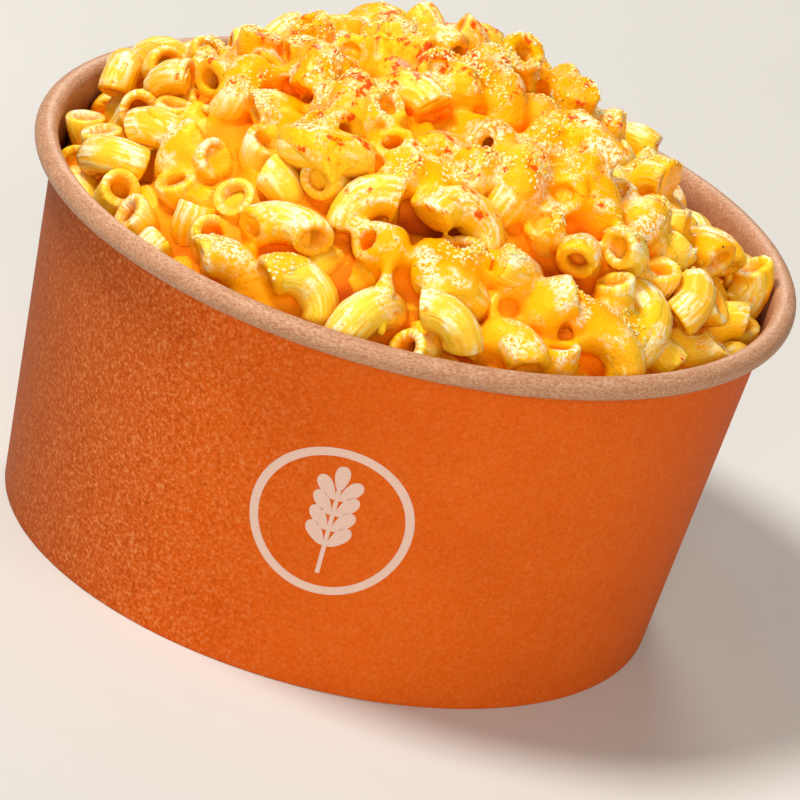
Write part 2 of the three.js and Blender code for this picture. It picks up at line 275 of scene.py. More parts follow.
def outside_heap(points):
    x, y, z = points[..., 0], points[..., 1], points[..., 2]
    return (z - heap_top(x, y)) * heap_normal(x, y)[..., 2]


def inside_wall(points):
    """The points, with any that lie past the wall's inner face pressed flat against it."""
    radius = np.hypot(points[..., 0], points[..., 1])
    limit = wall_inner(np.minimum(points[..., 2], BOWL_HEIGHT)) - FOOD_GAP
    pressed = points.copy()
    pressed[..., :2] *= np.minimum(1, limit / radius)[..., None]
    return pressed


class Elbows:
    """Columns with a row for each elbow: centroid, direction along the middle, direction of the
    outer curve, bend, depth of the highest point under the heap's top, and freedom to move."""

    FIELDS = ("centre", "along", "outward", "bend", "sink", "give")

    def __init__(self, columns):
        for field, column in zip(self.FIELDS, columns):
            setattr(self, field, np.array(column, dtype=float))

    def __len__(self):
        return len(self.bend)

    def columns(self):
        return [getattr(self, field) for field in self.FIELDS]

    def joined(self, other):
        return Elbows(np.concatenate(pair) for pair in zip(self.columns(), other.columns()))

    def kept(self, which):
        return Elbows(column[which] for column in self.columns())

    def middle(self):
        return np.sin(self.bend / 2) / (self.bend / 2)

    def arc_centre(self):
        return self.centre - BEND_RADIUS * self.middle()[:, None] * self.outward

    def beads(self):
        turn = self.bend[:, None] * (np.arange(BEADS) / (BEADS - 1) - 0.5)
        ahead = np.sin(turn)[..., None] * self.along[:, None]
        out = np.cos(turn)[..., None] * self.outward[:, None]
        return self.arc_centre()[:, None] + BEND_RADIUS * (ahead + out)


def placed_elbow(row):
    centre = np.array(row[:3], dtype=float)
    heading, pitch, roll, bend = (radians(v) for v in row[3:])
    level = cos(pitch)
    along = np.array([cos(heading) * level, sin(heading) * level, sin(pitch)])
    side = np.array([-sin(heading), cos(heading), 0])
    outward = cos(roll) * np.cross(along, side) + sin(roll) * side
    elbow = Elbows([[centre], [along], [outward], [bend], [0], [PLACED_GIVE]])
    sink = -TUBE_RADIUS - outside_heap(elbow.beads()).max()
    return centre, along, outward, bend, sink, PLACED_GIVE


def spread_elbow(x, y, heading, pitch, arch, bend, sink):
    normal = heap_normal(np.float64(x), np.float64(y))
    ahead = np.array([cos(heading), sin(heading), 0])
    ahead = unit(ahead - dot(ahead, normal) * normal)
    side = np.cross(normal, ahead)
    along = cos(pitch) * ahead + sin(pitch) * normal
    raised = cos(pitch) * normal - sin(pitch) * ahead
    outward = cos(arch) * raised + sin(arch) * side
    centre = np.array([x, y, heap_top(x, y)]) - (TUBE_RADIUS + sink) * normal
    return centre, along, outward, bend, sink, 1.0


def scatter(seed, count, sinks):
    numbers = seeded(seed)

    def between(low, high):
        return low + (high - low) * next(numbers)

    rows = []
    for i in range(count):
        radius = SPREAD_RADIUS * sqrt((i + 0.5) / count)
        angle = i * GOLDEN_ANGLE + between(-ANGLE_PLAY, ANGLE_PLAY)
        heading = between(0, 2 * pi)
        stands = next(numbers) < STANDING_SHARE
        pitch = between(*(STANDING_PITCH if stands else LYING_PITCH))
        arch = between(-ARCH_LEAN, ARCH_LEAN)
        bend = between(SHORTEST_BEND, LONGEST_BEND)
        sink = between(*sinks)
        x, y = radius * cos(angle), radius * sin(angle)
        rows.append(spread_elbow(x, y, heading, pitch, arch, bend, sink))
    return rows


def settle(elbows, rounds):
    """Pushes the elbows apart, inside the wall and to their own depth under the heap's top."""
    width = 2 * TUBE_RADIUS
    for _ in range(rounds):
        beads = elbows.beads()
        push = np.zeros_like(beads)
        gaps = elbows.centre[:, None] - elbows.centre[None]
        first, second = np.nonzero(np.triu(dot(gaps, gaps) < (4 * BEND_RADIUS) ** 2, 1))
        apart = beads[first][:, :, None] - beads[second][:, None]
        distance = np.maximum(np.linalg.norm(apart, axis=-1, keepdims=True), 1e-6)
        apart *= np.where(distance < width, 0.5 * (width - distance) / distance, 0)
        np.add.at(push, first, apart.sum(2))
        np.add.at(push, second, -apart.sum(1))
        reach = wall_inner(np.minimum(beads[..., 2], BOWL_HEIGHT)) - FOOD_GAP - TUBE_RADIUS
        radius = np.hypot(beads[..., 0], beads[..., 1])
        push[..., :2] += beads[..., :2] * np.minimum(0, reach / radius - 1)[..., None]
        highest = outside_heap(beads).max(1) + TUBE_RADIUS
        normal = heap_normal(elbows.centre[:, 0], elbows.centre[:, 1])
        push -= (SINK_PULL * (highest + elbows.sink)[:, None] * normal)[:, None]
        arm = beads - elbows.centre[:, None]
        turn = np.cross(arm, push).sum(1) / dot(arm, arm).sum(1)[:, None]
        turn *= elbows.give[:, None]
        elbows.centre += SETTLE_SHIFT * elbows.give[:, None] * push.mean(1)
        elbows.along = unit(elbows.along + np.cross(turn, elbows.along))
        outward = elbows.outward + np.cross(turn, elbows.outward)
        outward -= dot(outward, elbows.along)[:, None] * elbows.along
        elbows.outward = unit(outward)
    return elbows


def from_hollows(points):
    """Each point's distance to the nearest hollow's edge, negative inside it."""
    away = np.linalg.norm(points[..., None, :] - HOLLOWS[:, :3], axis=-1)
    return (away - HOLLOWS[:, 3]).min(-1)


def top_elbows():
    placed = [placed_elbow(row) for row in PLACED_ELBOWS]
    centres = np.array([row[0] for row in placed])
    clear = [
        row
        for row in scatter(HEAP_SEED, SPREAD_COUNT, SINK)
        if np.linalg.norm(centres - row[0], axis=1).min() >= CLEAR_OF_PLACED
        and from_hollows(row[0]) >= CLEAR_OF_HOLLOW
    ]
    return settle(Elbows(zip(*placed, *clear)), SETTLE_ROUNDS)


def with_under_elbows(top):
    """Adds the elbows that show in the gaps, settled under and between the fixed top ones."""
    top.give[:] = 0
    under = Elbows(zip(*scatter(UNDER_SEED, UNDER_COUNT, UNDER_SINK)))
    both = settle(top.joined(under), UNDER_ROUNDS)
    is_clear = from_hollows(both.beads()).min(1) > UNDER_CLEAR_OF_HOLLOW
    return both.kept(is_clear | (np.arange(len(both)) < len(top)))


def new_mesh(name, points, faces):
    """A smooth mesh object from points in millimetres."""
    mesh = bpy.data.meshes.new(name)
    mesh.from_pydata((np.asarray(points) * MM).tolist(), [], [list(f) for f in faces])
    mesh.shade_smooth()
    obj = bpy.data.objects.new(name, mesh)
    bpy.context.scene.collection.objects.link(obj)
    return obj


def point_attribute(obj, name, values):
    attribute = obj.data.attributes.new(name, "FLOAT", "POINT")
    attribute.data.foreach_set("value", np.asarray(values, dtype=np.float32))


def ring_grid(rings, sides, closed):
    """Quads between rings of points, each ring with the given number of sides."""
    quads = []
    for a in range(rings if closed else rings - 1):
        b = (a + 1) % rings
        for i in range(sides):
            j = (i + 1) % sides
            quads.append((a * sides + i, a * sides + j, b * sides + j, b * sides + i))
    return quads


def turned(name, profile, closed=True, caps=()):
    """A profile of (radius, height) turned about Z, with flat caps and its corners sharp."""
    profile = np.array(profile, dtype=float)
    angle = 2 * pi * np.arange(AROUND) / AROUND
    reach, height = profile[:, :1], np.repeat(profile[:, 1:], AROUND, 1)
    points = np.stack([reach * np.cos(angle), reach * np.sin(angle), height], -1).reshape(-1, 3)
    faces = ring_grid(len(profile), AROUND, closed)
    for ring, up in caps:
        loop = list(range(ring * AROUND, (ring + 1) * AROUND))
        faces.append(loop if up else loop[::-1])
    obj = new_mesh(name, points, faces)
    for polygon in obj.data.polygons:
        polygon.use_smooth = len(polygon.vertices) == 4
    obj.data.set_sharp_from_angle(angle=radians(40))
    return obj


def arc(centre, radius, start, end, count):
    angle = np.linspace(start, end, count + 1)
    return np.stack([centre[0] + radius * np.cos(angle), centre[1] + radius * np.sin(angle)], 1)


def bowl_paper():
    """The wall's kraft strip, rolled at the rim and folded up inside the foot."""
    bead = (RIM_RADIUS - BEAD_RADIUS, BOWL_HEIGHT - BEAD_RADIUS)
    roll_end = pi - BEAD_TURN
    paper = turned(
        "bowl_paper",
        [
            (print_back(0.3), 0.3),
            *[(print_back(z), z) for z in np.linspace(2, PRINT_TOP, 12)],
            (wall_outer(PRINT_TOP + 0.3), PRINT_TOP + 0.3),
            *arc(bead, BEAD_RADIUS - PAPER, pi, roll_end, 20),
            *arc(bead, BEAD_RADIUS, roll_end, pi, 28),
            *[(wall_inner(z), z) for z in np.linspace(PRINT_TOP, PAPER, 12)],
            (fold_outer(PAPER), PAPER),
            (fold_outer(FOLD_HEIGHT), FOLD_HEIGHT),
            (fold_outer(FOLD_HEIGHT) - PAPER, FOLD_HEIGHT),
            (fold_outer(0.2) - PAPER, 0.2),
            (fold_outer(0.1) - PAPER + 0.2, 0.05),
            (print_back(0.1) - 0.2, 0.05),
        ],
    )
    points, normals = surface_points(paper)
    # Painted shade on the wall's inner face under the bead: this share says where it falls.
    inward = dot(points[:, :2], normals[:, :2]) < 0
    under_bead = np.clip((bead[1] - points[:, 2]) / 4, 0, 1)
    point_attribute(paper, "painted_inner_shade", inward * under_bead)
    return paper


def bowl_printed_face():
    """The thin orange layer on the wall's outer face."""
    gap = 0.02
    return turned(
        "bowl_printed_face",
        [
            (print_back(0) - 0.5, 0),
            (wall_outer(0) - 0.3, 0),
            (wall_outer(0.1) - 0.08, 0.1),
            (wall_outer(0.4), 0.4),
            *[(wall_outer(z), z) for z in np.linspace(2, PRINT_TOP, 12)],
            (print_back(PRINT_TOP) + gap, PRINT_TOP + gap),
            (print_back(2) + gap, 2),
            (print_back(0.3) + gap, 0.25),
            (print_back(0) - 0.5, 0.04),
        ],
    )


def bowl_raised_base():
    """The base's disc, with the flange round it that the fold holds."""
    under = FLOOR_HEIGHT - PAPER
    foot = PAPER + FOOD_GAP
    return turned(
        "bowl_raised_base",
        [
            (flange_outer(under) - 2 * PAPER, under),
            (flange_outer(under - PAPER) - PAPER, under - PAPER),
            (flange_outer(foot) - PAPER, foot),
            (flange_outer(foot), foot),
            (flange_outer(under), under),
            (flange_outer(FLOOR_HEIGHT) - PAPER, FLOOR_HEIGHT),
        ],
        closed=False,
        caps=((0, False), (5, True)),
    )


def badge():
    """A round badge with an ear of wheat, printed on the front of the wall."""
    points, faces = [], []

    def add(rings, sides):
        """Rings of points, joined by quads."""
        start = len(points)
        for ring in rings:
            points.extend(ring)
        faces.extend([start + i for i in quad] for quad in ring_grid(len(rings), sides, False))

    def grain(x, y, lean, length):
        """One grain as rings that shrink to its middle, so that it bends with the wall."""
        t = np.linspace(0, 2 * pi, 28, endpoint=False)
        along = length * (0.5 - 0.5 * np.cos(t))
        across = GRAIN_WIDTH / 2 * np.sin(t) * (1 - 0.35 * np.cos(t))
        c, s = cos(lean), sin(lean)
        outline = np.stack([x + along * s + across * c, y + along * c - across * s], 1)
        centre = outline.mean(0)
        add([centre + (outline - centre) * share for share in (1, 0.75, 0.5, 0.25, 0.02)], 28)

    turn = np.linspace(0, 2 * pi, 144, endpoint=False)
    circle = np.stack([np.cos(turn), np.sin(turn)], 1)
    add([circle * (BADGE_RADIUS - BADGE_LINE * share) for share in (0, 0.5, 1)], 144)
    for i in range(4):
        for side in (-1, 1):
            grain(0.5 * side, -5.2 + 3.3 * i, GRAIN_LEAN * side, 5.6)
    grain(0, 6.6, 0, 5.4)
    start = len(points)
    for side in (-1, 1):
        points.extend((side * STALK_WIDTH / 2, y) for y in np.linspace(*STALK, 12))
    faces.extend([i, i + 12, i + 13, i + 1] for i in range(start, start + 11))
    flat = np.array(points)
    height = BADGE_HEIGHT + flat[:, 1]
    reach = wall_outer(height) + 0.04
    angle = flat[:, 0] / wall_outer(BADGE_HEIGHT) - pi / 2
    wrapped = np.stack([reach * np.cos(angle), reach * np.sin(angle), height], 1)
    return new_mesh("bowl_badge", wrapped, faces)


def pasta(elbows, rng):
    """All the elbows as bored tubes, a little uneven, with their ends' edges rounded."""
    count = len(elbows)
    lengths, bores = 10, 7
    outer = [0.0, *np.linspace(0, 1, lengths), 1.0]
    share = np.array([*outer, *np.linspace(1, 0, bores)])
    inset = np.zeros(len(share))
    inset[[1, lengths]] = END_ROUNDING / BEND_RADIUS, -END_ROUNDING / BEND_RADIUS
    wall = TUBE_RADIUS - COAT_ROOM
    shell = np.array([wall] * len(outer) + [BORE_RADIUS] * bores)
    shell[[0, len(outer) - 1]] -= 0.32
    shell[[len(outer), -1]] += 0.25
    turn = elbows.bend[:, None] * (share - 0.5) + inset
    phi = 2 * pi * np.arange(TUBE_SIDES) / TUBE_SIDES
    flare = 1 + 0.05 * rng.uniform(-1, 1, (count, 1)) * np.cos(2 * turn)
    flat = rng.uniform(0.88, 1.03, (count, 1, 1))
    lean = rng.uniform(0, pi, (count, 1, 1))
    wave = rng.uniform(0, 2 * pi, (count, 2, 1, 1))
    ripple = np.sin(3 * phi + 4 * turn[..., None] + wave[:, 0])
    ripple = ripple + np.sin(2 * phi - 7 * turn[..., None] + wave[:, 1])
    radius = (shell * flare)[..., None] * (1 + (flat - 1) * np.cos(phi - lean) ** 2)
    radius = radius + 0.07 * ripple
    ahead = np.sin(turn)[..., None] * elbows.along[:, None]
    spoke = ahead + np.cos(turn)[..., None] * elbows.outward[:, None]
    side = np.cross(elbows.along, elbows.outward)[:, None, None]
    points = elbows.arc_centre()[:, None, None]
    points = points + (BEND_RADIUS + radius * np.cos(phi))[..., None] * spoke[:, :, None]
    points = inside_wall(points + (radius * np.sin(phi))[..., None] * side)
    quads = np.array(ring_grid(len(share), TUBE_SIDES, True))
    first = np.arange(count)[:, None, None] * len(share) * TUBE_SIDES
    obj = new_mesh("cooked_elbows", points.reshape(-1, 3), (quads + first).reshape(-1, 4))
    point_attribute(obj, "tone", np.repeat(rng.uniform(0, 1, count), len(share) * TUBE_SIDES))
    is_bore = np.repeat(np.arange(len(share)) >= len(outer), TUBE_SIDES)
    point_attribute(obj, "bore", np.tile(is_bore, count))
    down = 0.3 * turn[..., None] + 7 * np.arange(count)[:, None, None]
    lengthwise = np.stack(np.broadcast_arrays(np.cos(phi), np.sin(phi), down), -1)
    attribute = obj.data.attributes.new("lengthwise", "FLOAT_VECTOR", "POINT")
    attribute.data.foreach_set("vector", lengthwise.astype(np.float32).reshape(-1))
    return obj


def grid_noise(axes, spacing, rng):
    """Smooth noise of about -1 to 1 on the grid, from random values at wider spaced points."""
    steps = [int((axis[-1] - axis[0]) / spacing) + 3 for axis in axes]
    field = rng.uniform(-1, 1, steps)
    for k, axis in enumerate(axes):
        place = (axis - axis[0]) / spacing
        cell = place.astype(int)
        share = place - cell
        share = share * share * (3 - 2 * share)
        weight = np.zeros((len(axis), steps[k]))
        weight[np.arange(len(axis)), cell] = 1 - share
        weight[np.arange(len(axis)), cell + 1] += share
        field = np.moveaxis(np.tensordot(weight, field, (1, k)), 0, k)
    return field.astype(np.float32)


def averaged(field, half):
    """Each value averaged with those up to `half` places away along every axis, twice."""
    width = 2 * half + 1
    for axis in (0, 1, 2) * 2:
        padding = [(half + 1, half) if k == axis else (0, 0) for k in range(3)]
        total = np.moveaxis(np.cumsum(np.pad(field, padding, mode="edge"), axis), axis, 0)
        field = np.moveaxis((total[width:] - total[:-width]) / width, 0, axis)
    return field


class FoodGrid:
    """A grid of cubes round the heap's top with, at each place, how cheesy it is, from 0 where
    the elbows lie bare to 1 where cheese covers them, and what share round it is filled."""

    def __init__(self, rng):
        self.wide = np.arange(-CHEESE_REACH, CHEESE_REACH, VOXEL)
        self.tall = np.arange(CHEESE_LOW, CHEESE_HIGH, VOXEL)
        self.axes = (self.wide, self.wide, self.tall)
        higher = np.clip((self.tall - 76) / 20, 0, 1)
        share = 0.22 + 0.45 * higher + 0.7 * grid_noise(self.axes, 16, rng)
        x, y, z = np.meshgrid(*self.axes, indexing="ij", sparse=True)
        for point in CURTAINS.reshape(-1, 4):
            away = (x - point[0]) ** 2 + (y - point[1]) ** 2 + (z - point[2]) ** 2
            share = share + 0.5 * np.exp(-away / 6**2)
        self.cheesy = np.clip(share, 0, 1)
        self.filled = np.zeros_like(self.cheesy)

    def at(self, values, points):
        """The value at each point, from the eight grid points round it."""
        place = (points - [self.wide[0], self.wide[0], self.tall[0]]) / VOXEL
        place = np.clip(place, 0, np.array(values.shape) - 1.001)
        cell = place.astype(int)
        part = place - cell
        return sum(
            np.prod(np.where(corner, part, 1 - part), -1) * values[tuple((cell + corner).T)]
            for corner in np.ndindex(2, 2, 2)
        )

    def near(self, points, margin):
        """The slices of the grid round some points, and the places of its cubes there."""
        low, high = points.min(0) - margin, points.max(0) + margin
        cut = tuple(
            slice(int(np.searchsorted(axis, a)), int(np.searchsorted(axis, b)))
            for axis, a, b in zip(self.axes, low, high)
        )
        local = np.meshgrid(*[axis[s] for axis, s in zip(self.axes, cut)], indexing="ij")
        return cut, np.stack(local, -1)


def smooth_min(a, b, blend):
    share = np.maximum(blend - np.abs(a - b), 0) / blend
    return np.minimum(a, b) - share * share * blend * 0.25


def tube_distance(points, arc_centre, along, outward, bend):
    """Distance to an elbow's centreline, and distance past the nearer end's plane."""
    q = points - arc_centre
    a, b, c = q @ along, q @ outward, q @ np.cross(along, outward)
    half = bend / 2
    end = np.abs(a)
    turn = np.arctan2(end, b)
    beyond = turn > half
    tip_a, tip_b = BEND_RADIUS * sin(half), BEND_RADIUS * cos(half)
    past = (end - tip_a) * cos(half) - (b - tip_b) * sin(half)
    across = (end - tip_a) * sin(half) + (b - tip_b) * cos(half)
    round_part = np.hypot(np.hypot(a, b) - BEND_RADIUS, c)
    distance = np.where(beyond, np.hypot(across, c), round_part)
    return distance, np.where(beyond, np.maximum(past, 0), BEND_RADIUS * (turn - half))


def cheese_threads(elbows, rng):
    """Threads of cheese, as (points, radii): from elbow to elbow, and down into the gaps."""
    beads = elbows.beads()[:, 1:-1].reshape(-1, 3)
    owner = np.repeat(np.arange(len(elbows)), BEADS - 2)
    showing = np.nonzero((outside_heap(beads) > -7.5) & (beads[:, 2] > 72))[0]
    to_curtain = np.linalg.norm(beads[showing, None] - CURTAINS.reshape(-1, 4)[:, :3], axis=-1)
    draped = showing[to_curtain.min(1) < 11]
    share = np.linspace(0, 1, 7)[:, None]
    threads = []
    while len(threads) < STRINGS:
        a, b = rng.choice(draped if len(threads) < NEAR_CURTAINS else showing, 2)
        gap = beads[b] - beads[a]
        length = np.linalg.norm(gap)
        if owner[a] == owner[b] or not 9.5 < length < 16:
            continue
        start = beads[a] + (0, 0, rng.uniform(0.2, 0.7) * TUBE_RADIUS)
        end = beads[b] + (0, 0, rng.uniform(0.2, 0.7) * TUBE_RADIUS)
        path = start + (end - start) * share
        path[:, 2] -= rng.uniform(0.4, 1.4) * length * (share * (1 - share))[:, 0]
        radii = rng.uniform(0.35, 0.8) * (1 + 1.1 * np.abs(2 * share - 1) ** 3)
        threads.append((path, radii[:, 0]))
    while len(threads) < STRINGS + DRIPS:
        a = rng.choice(draped if len(threads) < STRINGS + NEAR_CURTAINS else showing)
        heading = rng.uniform(0, 2 * pi)
        away = np.array([cos(heading), sin(heading), 0])
        start = beads[a] + 0.8 * TUBE_RADIUS * away
        drop = rng.uniform(5, 10)
        path = start + away * rng.uniform(0, 2) * share - (0, 0, drop) * share
        radii = rng.uniform(0.45, 0.95) * (1 + 0.8 * (1 - share) ** 3)
        threads.append((path, radii[:, 0]))
    return threads


def thread_distance(points, path, radii):
    distance = np.full(points.shape[:-1], np.inf)
    for a, b, ra, rb in zip(path[:-1], path[1:], radii[:-1], radii[1:]):
        along = b - a
        share = np.clip((points - a) @ along / dot(along, along), 0, 1)
        gap = np.linalg.norm(points - a - share[..., None] * along, axis=-1)
        distance = np.minimum(distance, gap - (ra + (rb - ra) * share))
    return distance


def open_bore(field, cut, local, elbows, i, end, depth):
    """Cuts an elbow's bore out of the cheese at one end, unless that end is buried."""
    half = elbows.bend[i] / 2
    along, outward, middle = elbows.along[i], elbows.outward[i], elbows.arc_centre()[i]
    tip = middle + BEND_RADIUS * (end * sin(half) * along + cos(half) * outward)
    facing = end * cos(half) * along - sin(half) * outward
    if outside_heap(tip) < -8 or outside_heap(tip + facing) < outside_heap(tip) - 0.5:
        return
    distance, _ = tube_distance(local, middle, along, outward, elbows.bend[i])
    ahead = (local - tip) @ facing
    bore = np.maximum(distance - BORE_RADIUS, -(ahead + depth))
    bore = np.maximum(bore, ahead - 1.6)
    bore = np.maximum(bore, -(((local - middle) @ along) * end))
    field[cut] = -smooth_min(-field[cut], bore, 0.5)


def cheese(elbows, grid, rng):
    """Melted cheese over and between the elbows, cut to the bowl, as one closed surface."""
    axes, cheesy = grid.axes, grid.cheesy
    x, y, z = np.meshgrid(*axes, indexing="ij", sparse=True)
    quick = grid_noise(axes, 5, rng)
    fine = grid_noise(axes, 1.9, rng)
    pool = 9.3 - 2.6 * cheesy + 5 * np.clip(grid_noise(axes, 11, rng) - 0.2, 0, 1)
    for hollow in HOLLOWS:
        away = ((x - hollow[0]) ** 2 + (y - hollow[1]) ** 2) / hollow[3] ** 2
        pool = pool + 1.4 * hollow[3] * np.exp(-away)
    field = (z - heap_top(x, y)) * heap_normal(x, y)[..., 2] + pool
    coat = -0.55 + 0.95 * cheesy + 0.25 * quick
    coat = coat - 12 * np.maximum(-0.2 - coat, 0)
    blend = 0.7 + 1.8 * cheesy
    bores = []
    for i in range(len(elbows)):
        cut, local = grid.near(elbows.centre[i : i + 1], BEND_RADIUS + TUBE_RADIUS + 4)
        frame = (elbows.arc_centre()[i], elbows.along[i], elbows.outward[i], elbows.bend[i])
        distance, past = tube_distance(local, *frame)
        shell = distance - (TUBE_RADIUS - 0.6)
        body = np.hypot(np.maximum(shell, 0), np.maximum(past, 0))
        body = body + np.minimum(np.maximum(shell, past), 0) - 0.6 - coat[cut]
        field[cut] = smooth_min(field[cut], body, blend[cut])
        for end in (-1, 1):
            depth = rng.choice([-1.0, 0.7, 2.5, 5.0], p=[0.25, 0.35, 0.2, 0.2])
            bores.append((cut, local, elbows, i, end, depth))
    for path, radii in cheese_threads(elbows, rng):
        cut, local = grid.near(path, 4)
        thread = thread_distance(local, path, radii) + 1.6 * (1 - cheesy[cut])
        field[cut] = smooth_min(field[cut], thread, 1.2)
    for curtain in CURTAINS:
        cut, local = grid.near(curtain[:, :3], 8)
        folds = thread_distance(local, curtain[:, :3], curtain[:, 3]) + 0.5 * quick[cut]
        field[cut] = smooth_min(field[cut], folds, 2.4)
    for bore in bores:
        open_bore(field, *bore)
    crown = np.clip((z - 90) / 10, 0, 1)
    field = field - 0.32 * fine * (0.3 + 0.7 * crown) * (field < 3)
    radius = np.hypot(x, y)
    limit = wall_inner(np.minimum(z, BOWL_HEIGHT)) - FOOD_GAP
    grid.filled = averaged(((field < 0) | ((radius > limit) & (z < BOWL_HEIGHT))) * 1.0, 4)
    field = np.maximum(field, radius - limit)
    field = np.maximum(field, CHEESE_LOW + 1.5 * VOXEL - z)
    return cheese_mesh(np.clip(field, -3 * VOXEL, 3 * VOXEL).astype(np.float32), grid)


def cheese_mesh(field, grid):
    """The surface where the field is zero, with its flat foot drawn down to the bowl's floor."""
    volume = openvdb.FloatGrid(3 * VOXEL)
    volume.copyFromArray(np.ascontiguousarray(field))
    volume.transform = openvdb.createLinearTransform(VOXEL)
    points, triangles, quads = volume.convertToPolygons(0.0, MESH_SAVING)
    points = points + np.array([axis[0] for axis in grid.axes])
    foot = points[:, 2] < CHEESE_LOW + 1.8 * VOXEL
    floor_radius = wall_inner(FLOOR_HEIGHT + 0.5) - FOOD_GAP
    points[foot, :2] *= floor_radius / (wall_inner(CHEESE_LOW + 1) - FOOD_GAP)
    points[foot, 2] = FLOOR_HEIGHT + FOOD_GAP
    return new_mesh("melted_cheese", points, [*triangles, *quads])


def ridges(obj, points, normals, rounds=3):
    """How far each point stands out from those round it, in mm, smoothed along the surface."""
    ends = np.empty(2 * len(obj.data.edges), dtype=np.int32)
    obj.data.edges.foreach_get("vertices", ends)
    a, b = ends.reshape(-1, 2).T
    count = np.bincount(a, minlength=len(points)) + np.bincount(b, minlength=len(points))

    def around(values):
        total = np.bincount(a, values[b], len(points)) + np.bincount(b, values[a], len(points))
        return total / np.maximum(count, 1)

    level = points
    for _ in range(rounds):
        level = np.stack([around(column) for column in level.T], 1)
    return dot(points - level, normals)


def food_attributes(obj, grid):
    """For the shaders: how cheesy and how deep each point lies, how crowded it is by what is
    round it, how far it faces the open air above the heap, how near the crown it is, how
    browned it may be, and if it is on a ridge."""
    points, normals = surface_points(obj)
    depth = -outside_heap(points)
    open_air = unit(points * (0.8 / HEAP_RADIUS, 0.8 / HEAP_RADIUS, 0) + (0, 0, 1))
    near_top = np.clip(1.3 - depth / 4, 0, 1)
    crown = np.clip((points[:, 2] - 86) / 12, 0, 1)
    away = np.linalg.norm(points - BROWNED, axis=1) / BROWNED_REACH
    for name, values in (
        ("cheesy", grid.at(grid.cheesy, points)),
        ("depth", np.clip(depth / 12, 0, 1)),
        ("crowded", grid.at(grid.filled, points + 1.5 * normals)),
        ("up", 0.5 + 0.5 * dot(normals, open_air)),
        ("crown", crown * near_top),
        ("browned", np.maximum(np.exp(-(away**2)), 0.6 * crown) * near_top),
        ("ridge", np.clip(0.5 + 2 * ridges(obj, points, normals), 0, 1)),
    ):
        point_attribute(obj, name, values)


BALL_SIDES = [(0, 11, 5), (0, 5, 1), (0, 1, 7), (0, 7, 10), (0, 10, 11), (1, 5, 9), (5, 11, 4)]
BALL_SIDES += [(11, 10, 2), (10, 7, 6), (7, 1, 8), (3, 9, 4), (3, 4, 2), (3, 2, 6), (3, 6, 8)]
BALL_SIDES += [(3, 8, 9), (4, 9, 5), (2, 4, 11), (6, 2, 10), (8, 6, 7), (9, 8, 1)]


def grains(name, places, normals, small, large, flatness, rng):
    """Rough grains lying on a surface, each an uneven twenty-sided ball, flattened onto it."""
    t = (1 + sqrt(5)) / 2
    ball = [(-1, t, 0), (1, t, 0), (-1, -t, 0), (1, -t, 0), (0, -1, t), (0, 1, t)]
    ball += [(0, -1, -t), (0, 1, -t), (t, 0, -1), (t, 0, 1), (-t, 0, -1), (-t, 0, 1)]
    count = len(places)
    size = rng.uniform(small, large, (count, 1, 1)) * rng.uniform(0.6, 1.2, (count, 12, 1))
    shape = unit(np.array(ball)) * size * rng.uniform(0.6, 1.5, (count, 1, 3))
    shape -= flatness * dot(shape, normals[:, None])[..., None] * normals[:, None]
    points = shape + (places + 0.2 * small * normals)[:, None]
    faces = np.array(BALL_SIDES)[None] + 12 * np.arange(count)[:, None, None]
    return new_mesh(name, points.reshape(-1, 3), faces.reshape(-1, 3))


def surface_points(surface):
    mesh = surface.data
    places = np.empty(len(mesh.vertices) * 3)
    normals = np.empty(len(mesh.vertices) * 3)
    mesh.vertices.foreach_get("co", places)
    mesh.vertex_normals.foreach_get("vector", normals)
    return places.reshape(-1, 3) / MM, normals.reshape(-1, 3)


def pepper(surface, rng):
    """Specks of ground black pepper lying on the cheese."""
    places, normals = surface_points(surface)
    showing = np.nonzero((outside_heap(places) > -6) & (normals[:, 2] > 0.1))[0]
    chosen = rng.choice(showing, PEPPER_COUNT, replace=False)
    return grains("pepper_specks", places[chosen], normals[chosen], 0.09, 0.2, 0.4, rng)


def crumbs(surface, rng):
    """Small flakes of cheese that lie in patches on the upward faces, most of them high up."""
    places, normals = surface_points(surface)
    showing = np.nonzero((outside_heap(places) > -3.5) & (normals[:, 2] > 0.35))[0]
    high = np.clip((places[showing, 2] - 78) / 18, 0.06, 1)
    chosen = []
    for middle in rng.choice(showing, CRUMB_PATCHES, replace=False, p=high / high.sum()):
        near = np.linalg.norm(places[showing] - places[middle], axis=1)
        weight = np.exp(-((near / rng.uniform(1.0, 2.8)) ** 2))
        weight /= weight.sum()
        chosen.append(rng.choice(showing, CRUMBS_IN_PATCH, replace=False, p=weight))
    chosen = np.unique(np.concatenate(chosen))
    places, normals = places[chosen], normals[chosen]
    loose = rng.uniform(-0.45, 0.45, places.shape)
    places = places + loose - dot(loose, normals)[:, None] * normals
    return grains("cheese_crumbs", places, normals, 0.16, 0.44, 0.6, rng)


